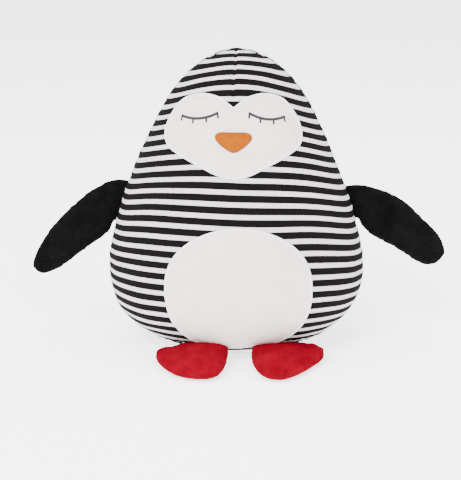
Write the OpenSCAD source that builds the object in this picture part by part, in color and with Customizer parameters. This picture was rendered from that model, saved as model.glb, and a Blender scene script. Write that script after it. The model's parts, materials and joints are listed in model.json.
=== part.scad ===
// Stuffed penguin: a pear-shaped striped body on a small flat base, with a
// heart-shaped face patch, a round belly patch, two flippers and two feet.
// Millimetres. +Z is up, the toy faces -Y, and the origin is the middle of the
// flat face that it stands on. Left and right are the toy's own sides.

/* [Body] */
// Height of the body
body_h = 288; // [260:1:310]
// Width of the body at its widest
body_w = 256; // [236:1:270]
// Depth of the body as a share of its width
depth_share = 0.73; // [0.68:0.01:0.8]
// How far the body leans back, in degrees
lean = 10; // [7:1:12]
// Height of the seam between the base and the body
base_seam_z = 12; // [11:1:14]
// Thickness of the sewn shell
cloth = 2; // [1.6:0.1:2.4]

/* [Face] */
// Width of the heart-shaped patch
face_w = 136; // [120:1:142]
// Height of the middle of the heart
face_z = 214; // [210:1:218]
// Sideways place of the heart and the beak
face_x = -2.5; // [-4:0.5:4]
// Width of the beak
beak_w = 35; // [26:1:40]
// Width of one closed eye
eye_w = 36; // [28:1:38]

/* [Belly] */
// Width of the belly patch
belly_w = 141; // [130:1:150]
// Top of the belly patch
belly_top = 132; // [124:1:138]
// Sideways place of the belly patch
belly_x = 2; // [-4:0.5:4]

/* [Flippers] */
// Length of the stuffed part, from the pivot to the tip
wing_len = 95; // [84:1:100]
// Width of a flipper
wing_w = 43; // [38:1:46]
// Thickness of a flipper
wing_t = 19; // [15:1:21]
// Angle of the left flipper below the horizontal at rest
left_droop = 34.5; // [25:0.5:45]
// Angle of the right flipper below the horizontal at rest
right_droop = 42.5; // [25:0.5:45]
// Height of the middle of the seam that holds a flipper
wing_z = 137; // [132:1:142]

/* [Feet] */
// Length of a foot from its heel seam to the toe
foot_len = 68; // [60:1:72]
// Height of a foot above its sole seam
foot_rise = 10; // [8:0.5:11]
// Distance between the middles of the two heel seams
foot_gap = 66; // [62:1:72]
// Sideways place of the pair of feet
feet_x = 3; // [-4:0.5:4]

/* [Hidden] */

// colours
stripe_dark = "#262223";
felt_white = "#ece6e6";
fibre_white = "#f6f4ef";
beak_orange = "#e88a24";
plush_black = "#1a1a1b";
velour_red = "#cc1428";

// tessellation
body_rows = 28;
body_cols = 20;
patch_rings = 6;
patch_sides = 48;
pad_rings = 5;

// clearances
patch_gap = 0.5;   // between a patch and the cloth under it
felt = 1.2;        // thickness of a patch
thread_r = 0.5;    // radius of a stitched line
seam_r = 0.6;      // radius of a seam's ridge
lining_gap = 0.7;  // between a shell and its filling
edge_gap = 0.3;    // half the gap where two panels are sewn together

// ---------- the body's surface ----------
// Share of the full girth at height z: a pear, wide low down, round on top.
peak = 0.4442;
function girth(t) = sqrt((t + 0.0192) * (1 - t) * (1.742 - 4.02 * t + 4.25 * t * t - 1.61 * t * t * t)) / peak;
function half_w(z) = body_w / 2 * girth(z / body_h);
function lean_y(z) = z * tan(lean);
function skin(z, a) = [half_w(z) * cos(a), lean_y(z) + depth_share * half_w(z) * sin(a), z];

// The same surface, drawn in towards the body's middle by a thickness t.
mid = [0, lean_y(body_h / 2), body_h / 2];
reach = [body_w / 2, body_w / 2 * depth_share, body_h / 2];
function drawn_in(p, t) = [for (k = [0:2]) mid[k] + (p[k] - lean_part(p, k) - mid[k]) * (1 - t / reach[k]) + lean_part(p, k)];
function lean_part(p, k) = k == 1 ? lean_y(p[2]) - mid[1] : 0;

// Front of the body above the point (x, z), and a point standing off it by t.
function front_y(x, z) = lean_y(z) - depth_share * half_w(z) * sqrt(max(0.0001, 1 - pow(x / half_w(z), 2)));
step = 0.1;
function front_normal(x, z) = let (
        dx = (front_y(x + step, z) - front_y(x - step, z)) / (2 * step),
        dz = (front_y(x, z + step) - front_y(x, z - step)) / (2 * step)
    ) unit([dx, -1, dz]);
function on_front(p, t) = [p[0], front_y(p[0], p[1]), p[1]] + t * front_normal(p[0], p[1]);

function unit(v) = v / norm(v);
function flip(list) = [for (i = [len(list) - 1:-1:0]) list[i]];

// Smooth closed curve through a few control points.
function spline_point(p, i, t) = let (
        n = len(p), a = p[(i + n - 1) % n], b = p[i], c = p[(i + 1) % n], d = p[(i + 2) % n]
    ) b + 0.5 * t * ((c - a) + t * ((2 * a - 5 * b + 4 * c - d) + t * (3 * (b - c) + d - a)));
function closed_curve(p, count) = [
    for (j = [0:count - 1]) let (u = j * len(p) / count, i = floor(u)) spline_point(p, i, u - i)
];

// ---------- closed solids from rings of points ----------
// Rings run from the rim inwards and end in one closing point.
function cap_faces(first, m, rings, outward) = concat(
    [for (k = [0:rings - 2], j = [0:m - 1])
        let (a = first + k * m + j, b = first + k * m + (j + 1) % m, c = a + m, d = b + m)
        each (outward ? [[a, c, b], [b, c, d]] : [[a, b, c], [b, d, c]])],
    [for (j = [0:m - 1])
        let (a = first + (rings - 1) * m + j, b = first + (rings - 1) * m + (j + 1) % m, c = first + rings * m)
        outward ? [a, c, b] : [a, b, c]]
);
// Solid between two capped sets of rings that have the same count of points.
module between(outer, inner, m) {
    rings = (len(outer) - 1) / m;
    n = len(outer);
    rim = [for (j = [0:m - 1]) let (k = (j + 1) % m) each [[j, k, n + j], [k, n + k, n + j]]];
    polyhedron(concat(outer, inner), concat(cap_faces(0, m, rings, true), cap_faces(n, m, rings, false), rim), convexity = 6);
}
// Solid between two sheets of points, each a list of rows.
module between_sheets(outer, inner) {
    rows = len(outer);
    cols = len(outer[0]);
    n = rows * cols;
    function at(i, j) = i * cols + j;
    sheet = [for (i = [0:rows - 2], j = [0:cols - 2])
        each [[at(i, j), at(i + 1, j), at(i, j + 1)], [at(i, j + 1), at(i + 1, j), at(i + 1, j + 1)]]];
    back = [for (f = sheet) [f[0] + n, f[2] + n, f[1] + n]];
    edge = concat(
        [for (j = [0:cols - 1]) at(0, j)],
        [for (i = [1:rows - 1]) at(i, cols - 1)],
        [for (j = [cols - 2:-1:0]) at(rows - 1, j)],
        [for (i = [rows - 2:-1:1]) at(i, 0)]
    );
    count = len(edge);
    rim = [for (e = [0:count - 1]) let (a = edge[e], b = edge[(e + 1) % count]) each [[a, b, a + n], [b, b + n, a + n]]];
    polyhedron(concat([for (r = outer) each r], [for (r = inner) each r]), concat(sheet, back, rim), convexity = 6);
}
// Round cord along a path; its rings stay square to the path.
module cord(path, r, up, closed = false, sides = 6) {
    n = len(path);
    function dir(i) = closed ? unit(path[(i + 1) % n] - path[(i + n - 1) % n])
                             : unit(path[min(i + 1, n - 1)] - path[max(i - 1, 0)]);
    function side(i) = unit(cross(dir(i), up));
    function lift(i) = cross(side(i), dir(i));
    points = [for (i = [0:n - 1], k = [0:sides - 1])
        path[i] + r * (cos(360 * k / sides) * side(i) + sin(360 * k / sides) * lift(i))];
    last = closed ? n - 1 : n - 2;
    walls = [for (i = [0:last], k = [0:sides - 1])
        let (a = i * sides + k, b = i * sides + (k + 1) % sides,
             c = ((i + 1) % n) * sides + k, d = ((i + 1) % n) * sides + (k + 1) % sides)
        each [[a, b, c], [b, d, c]]];
    ends = closed ? [] : [[for (k = [sides - 1:-1:0]) k], [for (k = [0:sides - 1]) (n - 1) * sides + k]];
    polyhedron(points, concat(walls, ends), convexity = 8);
}

// ---------- body shell and filling ----------
module body_panel(from) {
    low = base_seam_z + 0.4;
    high = body_h - 0.05;
    split = 0.25;
    sheet = [for (i = [0:body_rows])
        let (z = low + (high - low) * (1 - cos(180 * i / body_rows)) / 2)
        [for (j = [0:body_cols]) skin(z, from + split + (180 - 2 * split) * j / body_cols)]];
    lining = [for (row = sheet) [for (p = row) drawn_in(p, cloth)]];
    between_sheets(sheet, lining);
}
module body_front_panel() { color(stripe_dark) body_panel(180); }
module body_back_panel() { color(stripe_dark) body_panel(0); }

base_levels = [0.97, 0.8, 0.6, 0.4, 0.22, 0.08, 0];
module base_panel() {
    m = 2 * body_cols;
    rings = [for (f = base_levels, j = [0:m - 1]) skin(f * base_seam_z, -360 * j / m)];
    outer = concat(rings, [[0, 0, 0]]);
    inner = [for (p = outer) drawn_in(p, cloth)];
    color(stripe_dark) between(outer, inner, m);
}
module body_filling() {
    m = 36;
    rows = 16;
    depth = cloth + lining_gap;
    levels = [for (i = [1:rows - 1]) body_h * (1 - cos(180 * i / rows)) / 2];
    top = concat([for (z = levels, j = [0:m - 1]) drawn_in(skin(z, 360 * j / m), depth)],
                 [drawn_in(skin(body_h - 0.01, 0), depth + 0.2)]);
    foot = concat([for (z = [levels[0], 0], j = [0:m - 1]) drawn_in(skin(z, 360 * j / m), depth)],
                  [drawn_in([0, 0, 0], depth)]);
    n = len(top);
    // the lower cap hangs from the same first ring as the upper one
    points = concat(top, [for (i = [m:len(foot) - 1]) foot[i]]);
    lower = concat(
        [for (j = [0:m - 1]) let (a = j, b = (j + 1) % m, c = n + j, d = n + (j + 1) % m) each [[a, b, c], [b, d, c]]],
        [for (j = [0:m - 1]) [n + j, n + (j + 1) % m, n + m]]
    );
    color(fibre_white) polyhedron(points, concat(cap_faces(0, m, len(levels), true), lower), convexity = 4);
}

// ---------- seams of the body ----------
seam_off = seam_r + 0.45;
tab_half = 17;      // half the length of the seam that holds a flipper
module side_seam() {
    clear = tab_half + 3;
    high = body_h - 0.3;
    steps = 14;
    low_part = [for (i = [0:8]) base_seam_z + 3 + (wing_z - clear - base_seam_z - 3) * i / 8];
    high_part = [for (i = [0:steps]) let (t = sin(90 * i / steps)) wing_z + clear + (high - wing_z - clear) * t];
    function beside(z, s) = let (p = skin(z, s > 0 ? 0 : 180), d = (half_w(z + step) - half_w(z - step)) / (2 * step))
        p + seam_off * unit([s, 0, -d]);
    color(stripe_dark) {
        for (s = [-1, 1])
            cord([for (z = low_part) beside(z, s)], seam_r, [0, 1, 0]);
        cord(concat([for (z = high_part) beside(z, -1)], [for (z = flip(high_part)) beside(z, 1)]), seam_r, [0, 1, 0]);
    }
}
module base_seam() {
    m = 56;
    d = (half_w(base_seam_z + step) - half_w(base_seam_z - step)) / (2 * step);
    ring = [for (j = [0:m - 1]) let (a = 360 * j / m)
        skin(base_seam_z, a) + (seam_off + 0.3) * unit([cos(a), sin(a) / depth_share, -d])];
    color(stripe_dark) cord(ring, seam_r, [0, 0, 1], closed = true);
}
heart_notch_z = face_z + 27 * face_w / 138;
module crown_dart_seam() {
    start = heart_notch_z + 8;
    end = body_h - 3;
    steps = 10;
    path = [for (i = [0:steps]) let (z = start + (end - start) * sin(90 * i / steps)) on_front([face_x * (1 - i / steps), z], seam_off)];
    color(stripe_dark) cord(path, seam_r, [1, 0, 0]);
}
// Ladder stitches that close the opening in the middle of the back.
closing_low = 40;
closing_count = 10;
closing_pitch = 7;
module closing_stitches() {
    color(stripe_dark)
        for (i = [0:closing_count - 1]) {
            z = closing_low + i * closing_pitch;
            y = lean_y(z) + depth_share * half_w(z) + seam_off;
            translate([0, y, z]) rotate([0, 90, 0]) cylinder(h = 4, r = thread_r, center = true, $fn = 16);
        }
}
module sewn_in_label() {
    z = base_seam_z + 5;
    w = 22;
    h = 34;
    lay = [for (i = [0:6]) let (zz = z + h * i / 6) [for (j = [0:4])
        let (x = 58 + w * j / 4, f = [x, 2 * lean_y(zz) - front_y(x, zz), zz], n = front_normal(x, zz)) [f, [n[0], -n[1], n[2]]]]];
    color("white") between_sheets(
        [for (row = lay) flip([for (q = row) q[0] + 1.2 * q[1]])],
        [for (row = lay) flip([for (q = row) q[0] + 0.6 * q[1]])]);
}

// ---------- face ----------
// Right half of the heart from its notch to its point, about its middle.
heart_half = [[0, 27], [15, 36.5], [33, 39.3], [50, 32], [63, 14], [68.5, -2],
              [64, -13], [50, -21], [34, -27.5], [16, -35], [0, -37.5]];
heart_outline = concat(
    [for (i = [10:-1:0]) heart_half[i]],
    [for (i = [1:9]) [-heart_half[i][0], heart_half[i][1]]]);
face_scale = face_w / 137;
function face_curve(count) = [for (p = closed_curve(heart_outline, count)) [face_x + p[0] * face_scale, face_z + p[1] * face_scale]];

// A flat-cut patch laid on the front of the body.
module laid_patch(curve, middle, low, thick, rings) {
    m = len(curve);
    function lay(t) = concat(
        [for (k = [0:rings - 1], p = curve) on_front(middle + (p - middle) * (1 - k / rings), t)],
        [on_front(middle, t)]);
    between(lay(low + thick), lay(low), m);
}
// A stitched line that runs round just inside a patch's edge.
module stitched_edge(curve, middle, inset, off) {
    cord([for (p = curve) on_front(middle + (p - middle) * inset, off)], thread_r, [0, 1, 0], closed = true, sides = 5);
}
face_middle = [face_x, face_z];
module face_patch() {
    color(felt_white) laid_patch(face_curve(patch_sides), face_middle, patch_gap, felt, patch_rings);
}
face_top = patch_gap + felt;
module face_patch_stitching() {
    color("white") stitched_edge(face_curve(patch_sides), face_middle, 0.96, face_top + thread_r + 0.35);
}
beak_z = face_z - 3;
beak_outline = [[0, 6.6], [12, 6.4], [17.2, 3.6], [16.5, -1], [9, -7.5], [0, -11.4],
                [-9, -7.5], [-16.5, -1], [-17.2, 3.6], [-12, 6.4]];
function beak_curve(count) = [for (p = flip(closed_curve(beak_outline, count))) [face_x, beak_z] + p * beak_w / 35];
module beak_patch() {
    color(beak_orange) laid_patch(beak_curve(30), [face_x, beak_z], face_top + 0.3, felt, 3);
}
module beak_stitching() {
    color(beak_orange) stitched_edge(beak_curve(30), [face_x, beak_z], 0.86, face_top + 0.3 + felt + thread_r + 0.15);
}
// A closed eye: one sagging line of satin stitch with four lashes under it.
eye_r = 0.8;
module eye(s) {
    off = face_top + eye_r + 0.3;
    middle = [face_x + s * (15.5 + eye_w / 2), face_z + 15];
    sag = 4.5;
    tilt = 2.5;
    function lid(t) = middle + [s * eye_w / 2 * t, sag * (t * t - 0.6) - tilt * t];
    color(stripe_dark) {
        cord([for (i = [-6:6]) on_front(lid(i / 6), off)], eye_r, [0, 1, 0], sides = 5);
        for (t = [-0.93, -0.33, 0.33, 0.93])
            cord([for (i = [1:3]) on_front(lid(t) + [s * t * 0.6 * i, -0.6 - 1.5 * i], off)], eye_r * 0.8, [0, 1, 0], sides = 5);
    }
}
module left_eye_embroidery() { eye(1); }
module right_eye_embroidery() { eye(-1); }

// ---------- belly ----------
belly_mid_z = 78;
belly_low = base_seam_z + 1.2;
// Round above its middle and fuller below, where the body turns under.
function belly_curve(count) = [for (j = [0:count - 1]) let (
        a = 360 * j / count, c = cos(a), s = sin(a), p = s < 0 ? 0.8 : 1
    ) [belly_x + belly_w / 2 * sign(c) * pow(abs(c), p),
       belly_mid_z + (s < 0 ? belly_mid_z - belly_low : belly_top - belly_mid_z) * sign(s) * pow(abs(s), p)]];
belly_middle = [belly_x, belly_mid_z];
module belly_patch() {
    color(felt_white) laid_patch(belly_curve(patch_sides), belly_middle, patch_gap, felt, patch_rings + 1);
}
module belly_patch_stitching() {
    color("white") stitched_edge(belly_curve(patch_sides), belly_middle, 0.96, face_top + thread_r + 0.35);
}

// ---------- padded shapes: flippers and feet ----------
// A dome over an outline in the XZ plane. The rim lies off the plane by `base`,
// and the dome rises by `rise` times a shape factor at each point.
function dome(curve, middle, rings, base, rise, side) = concat(
    [for (k = [0:rings - 1], p = curve) let (a = 90 * k / rings, q = middle + (p - middle) * cos(a)) [q[0], side * (base + rise * sin(a)), q[1]]],
    [[middle[0], side * (base + rise), middle[1]]]);
// The outline drawn in by about t all round.
function inset(curve, middle, t) = [for (p = curve) let (d = norm(p - middle)) middle + (p - middle) * (1 - t / d)];

// --- flipper: X runs from the pivot to the tip, Z across, Y through it ---
tab_t = 2;                     // thickness of the unstuffed tab
tab_r = 9;                     // radius of the tab's round end
root_rod = 1.25;               // radius of the tab's sewn edge
wing_start = tab_r + 0.6;
camber = 3.5;
function wing_half(s) = let (t = (s - wing_start) / (wing_len - wing_start))
    wing_w / 2 * sqrt(max(0, 1 - pow(s / wing_len, 4))) * (1 - 0.5 * pow(1 - t, 6));
function wing_mid(s) = camber * 4 * (s / wing_len) * (1 - s / wing_len);
wing_steps = 16;
function wing_s(i) = wing_start + (wing_len - wing_start) * sin(90 * i / wing_steps);
wing_curve = concat(
    [for (i = [0:wing_steps - 1]) let (s = wing_s(i)) [s, wing_mid(s) - wing_half(s)]],
    [[wing_len, 0]],
    [for (i = [wing_steps - 1:-1:0]) let (s = wing_s(i)) [s, wing_mid(s) + wing_half(s)]]);
wing_middle = [wing_len * 0.5, camber];

slope = (half_w(wing_z + step) - half_w(wing_z - step)) / (2 * step) * cos(lean);
root_out = unit([1, -slope]);          // away from the body, in the flipper's plane
root_along = [-root_out[1], root_out[0]];
root_skin = [half_w(wing_z), wing_z / cos(lean)];
root_axis = root_skin + (root_rod + 0.4) * root_out;
pivot = root_skin + [14.8, -5];

module wing_plane(s) { mirror([s < 0 ? 1 : 0, 0, 0]) rotate([-lean, 0, 0]) children(); }
module wing_place(s) {
    wing_plane(s) translate([pivot[0], 0, pivot[1]]) rotate([0, s > 0 ? left_droop : right_droop, 0]) children();
}
module wing_tab(s) {
    low = root_axis - tab_half * root_along;
    high = root_axis + tab_half * root_along;
    color(plush_black) wing_plane(s) {
        rotate([90, 0, 0]) linear_extrude(tab_t, center = true) {
            polygon([low, pivot + tab_r * [0.2, -0.98], pivot + tab_r * [0.2, 0.98], high]);
            translate(pivot) circle(tab_r, $fn = 48);
        }
        translate([low[0], 0, low[1]]) rotate([0, atan2(root_along[0], root_along[1]), 0])
            cylinder(h = 2 * tab_half, r = root_rod, $fn = 24);
    }
}
module wing_panel(s, side) {
    curve = side < 0 ? wing_curve : flip(wing_curve);
    rise = wing_t / 2 - edge_gap;
    color(plush_black) wing_place(s) between(
        dome(curve, wing_middle, pad_rings, edge_gap, rise, side),
        dome(inset(curve, wing_middle, cloth), wing_middle, pad_rings, edge_gap, rise - cloth, side),
        len(curve));
}
module wing_filling(s) {
    thin = cloth + lining_gap;
    curve = inset(wing_curve, wing_middle, thin + 0.3);
    rise = wing_t / 2 - edge_gap - thin;
    color(fibre_white) wing_place(s) between(
        dome(curve, wing_middle, pad_rings, edge_gap, rise, -1),
        dome(curve, wing_middle, pad_rings, edge_gap, rise, 1), len(curve));
}
module wing_seam(s) {
    edge = [for (i = [1:len(wing_curve) - 2]) wing_curve[i]];
    path = [for (p = edge) let (q = wing_middle + (p - wing_middle) * (1 + (seam_off + 0.3) / norm(p - wing_middle))) [q[0], 0, q[1]]];
    color(plush_black) wing_place(s) cord(path, seam_r, [0, 1, 0], sides = 5);
}
module left_wing_tab() { wing_tab(1); }
module left_wing_front_panel() { wing_panel(1, -1); }
module left_wing_back_panel() { wing_panel(1, 1); }
module left_wing_filling() { wing_filling(1); }
module left_wing_seam() { wing_seam(1); }
module right_wing_tab() { wing_tab(-1); }
module right_wing_front_panel() { wing_panel(-1, -1); }
module right_wing_back_panel() { wing_panel(-1, 1); }
module right_wing_filling() { wing_filling(-1); }
module right_wing_seam() { wing_seam(-1); }

// --- foot: X runs across, -Y from the heel to the toe, Z up ---
heel_x = foot_gap / 2;
heel_z = base_seam_z - 1;
heel_clear = 3.2;
heel_tan = depth_share * heel_x / half_w(base_seam_z) / sqrt(1 - pow(heel_x / half_w(base_seam_z), 2));
toe_out = atan(heel_tan);
heel_y = front_y(heel_x, base_seam_z);
toe_drop = 4;
// Control points of the sole's outline: across, and along from the heel.
foot_outline = [[-22, 2.6], [-31, 24], [-34, 47], [-31, 63], [-19, 69], [0, 63],
                [19, 53], [33, 40], [40, 25], [36, 10], [22, 2.6], [0, 2]];
foot_scale = foot_len / 68.5;
heel_bare = 6;      // the foot's edge ridge stops this far from the heel
heel_hem = 38;      // length of the hem on the heel's fold line
hem_r = 0.9;
foot_curve = [for (p = closed_curve(foot_outline, 36)) foot_scale * [p[0], p[1]]];
foot_middle = foot_scale * [1, 34];

module foot_place(s) {
    translate([feet_x, 0, 0]) mirror([s < 0 ? 1 : 0, 0, 0]) translate([heel_x, heel_y, heel_z]) rotate([0, 0, toe_out])
        translate([0, -heel_clear, 0]) rotate([toe_drop, 0, 0]) children();
}
// Height of the foot's dome: low at the heel, full at the toe.
function foot_swell(u) = 0.45 + 0.55 * pow(max(0, u) / foot_len, 0.8);
function floor_depth(u) = (heel_z - 0.15) / cos(toe_drop) - u * tan(toe_drop);
function foot_dome(curve, base, rise, top) = concat(
    [for (k = [0:pad_rings - 1], p = curve) let (
            a = 90 * k / pad_rings, q = foot_middle + (p - foot_middle) * cos(a), u = q[1]
        ) [q[0], -u, top ? base + rise * foot_swell(u) * sin(a)
                         : -min(base + rise * sin(a), floor_depth(u) - (foot_rise - rise))]],
    [[foot_middle[0], -foot_middle[1], top ? base + rise * foot_swell(foot_middle[1])
                                           : -min(base + rise, floor_depth(foot_middle[1]) - (foot_rise - rise))]]);
module foot_panel(s, top) {
    curve = top ? foot_curve : flip(foot_curve);
    color(velour_red) foot_place(s) between(
        foot_dome(curve, edge_gap, foot_rise, top),
        foot_dome(inset(curve, foot_middle, cloth), edge_gap, foot_rise - cloth, top),
        len(curve));
}
module foot_filling(s) {
    thin = cloth + lining_gap;
    curve = inset(foot_curve, foot_middle, thin + 0.3);
    color(fibre_white) foot_place(s) between(
        foot_dome(curve, edge_gap, foot_rise - thin, true),
        foot_dome(curve, edge_gap, foot_rise - thin, false), len(curve));
}
module foot_seam(s) {
    // the ridge runs round the toe, and a round hem lies on the heel's fold line
    run = [for (p = foot_curve) if (p[1] > heel_bare) p];
    path = [for (p = run) let (q = foot_middle + (p - foot_middle) * (1 + (seam_off + 0.3) / norm(p - foot_middle))) [q[0], -q[1], 0]];
    color(velour_red) foot_place(s) {
        cord(path, seam_r, [0, 0, 1], sides = 5);
        rotate([0, 90, 0]) cylinder(h = heel_hem, r = hem_r, center = true, $fn = 24);
    }
}
module left_foot_top_panel() { foot_panel(1, true); }
module left_foot_sole_panel() { foot_panel(1, false); }
module left_foot_filling() { foot_filling(1); }
module left_foot_seam() { foot_seam(1); }
module right_foot_top_panel() { foot_panel(-1, true); }
module right_foot_sole_panel() { foot_panel(-1, false); }
module right_foot_filling() { foot_filling(-1); }
module right_foot_seam() { foot_seam(-1); }

body_front_panel();
body_back_panel();
base_panel();
body_filling();
side_seam();
base_seam();
crown_dart_seam();
closing_stitches();
face_patch();
face_patch_stitching();
left_eye_embroidery();
right_eye_embroidery();
beak_patch();
beak_stitching();
belly_patch();
belly_patch_stitching();
sewn_in_label();
left_wing_tab();
left_wing_front_panel();
left_wing_back_panel();
left_wing_filling();
left_wing_seam();
right_wing_tab();
right_wing_front_panel();
right_wing_back_panel();
right_wing_filling();
right_wing_seam();
left_foot_top_panel();
left_foot_sole_panel();
left_foot_filling();
left_foot_seam();
right_foot_top_panel();
right_foot_sole_panel();
right_foot_filling();
right_foot_seam();
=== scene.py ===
import json
import math

import bmesh
import bpy
import numpy as np
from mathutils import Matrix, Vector


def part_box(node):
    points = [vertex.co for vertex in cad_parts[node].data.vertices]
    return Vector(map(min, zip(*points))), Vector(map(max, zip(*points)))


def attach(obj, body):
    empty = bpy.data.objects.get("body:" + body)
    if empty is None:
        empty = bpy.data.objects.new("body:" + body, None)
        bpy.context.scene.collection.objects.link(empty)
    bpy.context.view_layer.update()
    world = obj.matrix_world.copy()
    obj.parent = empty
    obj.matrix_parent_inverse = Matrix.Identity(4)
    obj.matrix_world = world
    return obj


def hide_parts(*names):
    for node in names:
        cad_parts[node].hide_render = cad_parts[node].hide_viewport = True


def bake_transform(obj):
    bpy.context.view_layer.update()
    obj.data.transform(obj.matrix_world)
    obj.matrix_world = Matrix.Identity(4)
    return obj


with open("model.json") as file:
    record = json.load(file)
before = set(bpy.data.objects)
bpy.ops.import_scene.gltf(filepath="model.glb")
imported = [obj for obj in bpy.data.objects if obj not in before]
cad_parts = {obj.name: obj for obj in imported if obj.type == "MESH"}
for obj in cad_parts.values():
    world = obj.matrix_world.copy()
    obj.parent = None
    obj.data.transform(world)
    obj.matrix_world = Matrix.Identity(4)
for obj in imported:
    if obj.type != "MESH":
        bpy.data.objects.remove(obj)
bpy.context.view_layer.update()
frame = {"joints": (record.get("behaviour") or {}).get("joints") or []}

MM = 0.001
SIDES = {"left": 1, "right": -1}       # the toy's own sides; left is +X


# ---------------------------------------------------------------- sizes from the frame
def size_of(node):
    low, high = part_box(node)
    return np.array(high) - np.array(low)


def middle_of(node):
    low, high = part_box(node)
    return (np.array(high) + np.array(low)) / 2


def joint(name):
    return next(j for j in frame["joints"] if j["name"] == name)


LEAN = math.radians(10)                # how far the body leans back
DEPTH = 0.73                           # the body's depth as a share of its width
PEAK = 0.4442                          # largest value of the root in half_w
BODY_H = float(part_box("body_front_panel")[1].z) + 0.05 * MM
BODY_W = float(size_of("body_front_panel")[0])
SEAM_Z = float(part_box("body_front_panel")[0].z) - 0.4 * MM
FACE = middle_of("face_patch")
BELLY = middle_of("belly_patch")
BEAK = middle_of("beak_patch")
STAND = 2 * MM                         # taken off the face's box, and half of it off belly's and beak's
FACE_W = float(size_of("face_patch")[0]) - STAND
BELLY_W = float(size_of("belly_patch")[0]) - STAND / 2
BEAK_W = float(size_of("beak_patch")[0]) - STAND / 2
STRIPE = BODY_H / 24                   # one dark and one light stripe
TUCK = 2.5 * MM                        # how far a cover's cut edge is turned in
SEWN = 1.8 * MM                        # how far a sewn-in edge goes under the body's surface
PATCH_LIFT = 0.2 * MM                  # heights above the body: a patch, its stitching, the beak, the eyes
BAND_LIFT = 0.85 * MM
BEAK_LIFT = 2.0 * MM
BEAK_BAND_LIFT = 2.5 * MM
EYE_LIFT = 2.1 * MM


# ---------------------------------------------------------------- the body's surface
def half_w(z):
    """Half the body's width at a height. The formula's rates were fitted to widths read off the photo."""
    t = np.clip(np.asarray(z, float) / BODY_H, 0, 1)
    full = (t + 0.0192) * (1 - t) * (1.742 - 4.02 * t + 4.25 * t ** 2 - 1.61 * t ** 3)
    return BODY_W / 2 * np.sqrt(np.maximum(full, 1e-9)) / PEAK


def slope_w(z, h=0.05 * MM):
    z = np.clip(z, 0.06 * MM, BODY_H - 0.06 * MM)
    return (half_w(z + h) - half_w(z - h)) / (2 * h)


def unit(v):
    return v / np.maximum(np.linalg.norm(v, axis=-1, keepdims=True), 1e-12)


def smooth(x):
    x = np.clip(x, 0, 1)
    return x * x * (3 - 2 * x)


def waves(p, length, seed, count=14):
    """Smooth, repeatable unevenness between about -1 and 1; length is its scale in metres."""
    rng = np.random.default_rng(seed)
    total = np.zeros(p.shape[:-1])
    for _ in range(count):
        direction = unit(rng.normal(size=3))
        k = 2 * math.pi / length * rng.uniform(0.6, 1.5)
        total += np.sin(p @ direction * k + rng.uniform(0, 2 * math.pi))
    return total / math.sqrt(count)


def skin(a, z):
    w = half_w(z)
    return np.stack([w * np.cos(a), z * math.tan(LEAN) + DEPTH * w * np.sin(a), z + 0 * a], -1)


def skin_normal(a, z):
    w, d = half_w(z), slope_w(z)
    along = np.stack([-w * np.sin(a), DEPTH * w * np.cos(a), 0 * a], -1)
    up = np.stack([d * np.cos(a), math.tan(LEAN) + DEPTH * d * np.sin(a), 1 + 0 * a], -1)
    return unit(np.cross(along, up))


NOTCH_Z = FACE[2] + 0.031              # where the crown's dart ends, in the heart's notch
CLOSING_LOW, CLOSING_HIGH = (float(corner.z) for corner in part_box("closing_stitches"))


def groove(distance, depth, width):
    return -depth * np.exp(-(distance / width) ** 2)


def gathers(distance, along, pitch, depth, reach, seed):
    """Small puckers that run away from a seam and die out over reach."""
    rng = np.random.default_rng(seed)
    lengths = [pitch * share for share in (0.8, 1.0, 1.37, 2.1)]
    shape = sum(np.sin(2 * math.pi * along / length + rng.uniform(0, 6)) for length in lengths)
    return depth * shape / 2 * np.exp(-(distance / reach) ** 2)


def relief(a, z):
    """How far the cloth stands off the plain pear: seams, puckers, darts and soft lumps."""
    p = skin(a, z)
    w = half_w(z)
    front = np.sin(a) < 0
    beside = np.abs(DEPTH * w * np.sin(a))
    fade = smooth(z / (8 * MM))
    out = 1.0 * MM * waves(p, 0.11, 3) + 0.3 * MM * waves(p, 0.034, 4)
    out = out * fade
    out += groove(beside, 1.3 * MM, 1.7 * MM)
    out += gathers(beside, z * 1.1, 9 * MM, 0.42 * MM, 9 * MM, 5) * smooth(beside / (2 * MM))
    base = (z - SEAM_Z) * np.sqrt(1 + slope_w(z) ** 2)
    out += groove(base, 0.9 * MM, 1.7 * MM)
    beyond = np.abs(base)
    out += gathers(beyond, a * w, 10 * MM, 0.45 * MM, 11 * MM, 6) * smooth(beyond / (2 * MM)) * fade
    dart_x = FACE[0] * (1 - smooth((z - NOTCH_Z) / (BODY_H - NOTCH_Z)))
    crown = np.where(front, np.abs(p[..., 0] - dart_x), 1.0)
    on_crown = smooth((z - NOTCH_Z + 4 * MM) / (9 * MM))
    out += groove(crown, 1.0 * MM, 1.5 * MM) * on_crown
    out += gathers(crown, z * 1.4, 8 * MM, 0.3 * MM, 7 * MM, 7) * on_crown * smooth(crown / (2 * MM))
    low_dart = np.where(front, np.abs(p[..., 0] - BELLY[0]), 1.0)
    on_low = smooth((36 * MM - z) / (22 * MM)) * fade
    on_low = on_low * smooth((z - SEAM_Z + 2 * MM) / (9 * MM))
    out += (groove(low_dart, 2.0 * MM, 2.6 * MM) - groove(low_dart, 0.7 * MM, 9 * MM)) * on_low
    back = np.where(front, 1.0, np.abs(p[..., 0]))
    on_back = smooth((CLOSING_HIGH + 9 * MM - z) / (9 * MM)) * smooth((z - CLOSING_LOW + 9 * MM) / (9 * MM))
    out += groove(back, 1.1 * MM, 1.4 * MM) * on_back
    out += gathers(back, z, 7 * MM, 0.3 * MM, 7 * MM, 8) * on_back * smooth(back / (2 * MM))
    return out


def on_body(a, z, lift=0.0):
    return skin(a, z) + skin_normal(a, z) * (relief(a, z) + lift)[..., None]


def front_angle(x, z):
    return -np.arccos(np.clip(x / half_w(z), -0.999, 0.999))


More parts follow.
